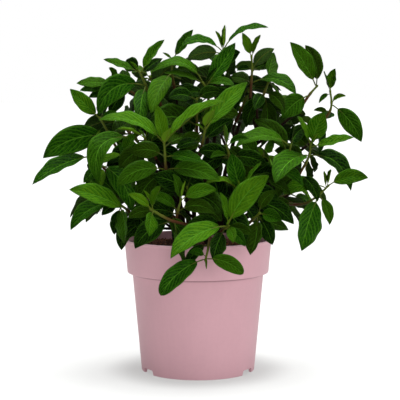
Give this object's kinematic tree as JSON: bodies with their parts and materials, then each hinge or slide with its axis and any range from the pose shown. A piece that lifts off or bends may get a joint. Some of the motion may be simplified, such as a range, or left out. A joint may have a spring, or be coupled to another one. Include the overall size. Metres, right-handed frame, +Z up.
{
  "type": "potted hydrangea",
  "caption": "Bushy leafy hydrangea without blooms, growing in compost in a round plastic nursery pot with a deep collar and a notched foot ring.",
  "frame": {"origin": "on the pot's axis, at the level that the pot stands on, under the middle of the plant's box", "axes": "+Z up along the pot's axis, -Y towards the front of the plant, +X to the right as seen from the front"},
  "size_m": [0.421, 0.2948, 0.443],
  "materials": {
    "pot_plastic": "matt moulded polypropylene, dusty pink",
    "compost": "moist fibrous peat compost",
    "bark": "rough brown young bark",
    "foliage": "satin green leaves with sunken veins"
  },
  "bodies": {
    "root": {"cane_01": "bark", "cane_02": "bark", "cane_03": "bark", "cane_04": "bark", "cane_05": "bark", "cane_06": "bark", "cane_07": "bark", "cane_08": "bark", "cane_09": "bark", "cane_10": "bark", "pot": "pot_plastic", "potting_soil": "compost", "shoot_centre_bud": "foliage", "shoot_centre_right": "foliage", "shoot_front_bud": "foliage", "shoot_front_low_centre": "foliage", "shoot_front_low_left": "foliage", "shoot_front_low_right": "foliage", "shoot_front_upper": "foliage", "shoot_grown_01": "foliage", "shoot_grown_02": "foliage", "shoot_grown_03": "foliage", "shoot_grown_04": "foliage", "shoot_grown_05": "foliage", "shoot_grown_06": "foliage", "shoot_grown_07": "foliage", "shoot_grown_08": "foliage", "shoot_grown_09": "foliage", "shoot_grown_10": "foliage", "shoot_grown_11": "foliage", "shoot_grown_12": "foliage", "shoot_grown_13": "foliage", "shoot_grown_14": "foliage", "shoot_grown_15": "foliage", "shoot_grown_16": "foliage", "shoot_grown_17": "foliage", "shoot_grown_18": "foliage", "shoot_grown_19": "foliage", "shoot_grown_20": "foliage", "shoot_grown_21": "foliage", "shoot_grown_22": "foliage", "shoot_left_arch": "foliage", "shoot_left_brown_stem": "foliage", "shoot_left_crown": "foliage", "shoot_left_edge": "foliage", "shoot_left_low": "foliage", "shoot_left_outer": "foliage", "shoot_lower_right_young": "foliage", "shoot_over_rim": "foliage", "shoot_right_bright_arch": "foliage", "shoot_right_crown": "foliage", "shoot_right_low": "foliage", "shoot_right_low_spray": "foliage", "shoot_right_middle": "foliage", "shoot_right_outer": "foliage", "shoot_right_top_pair": "foliage", "shoot_top_arch": "foliage", "shoot_top_left_tip": "foliage", "shoot_top_right_tip": "foliage", "shoot_top_rosette": "foliage"}
  },
  "joints": []
}
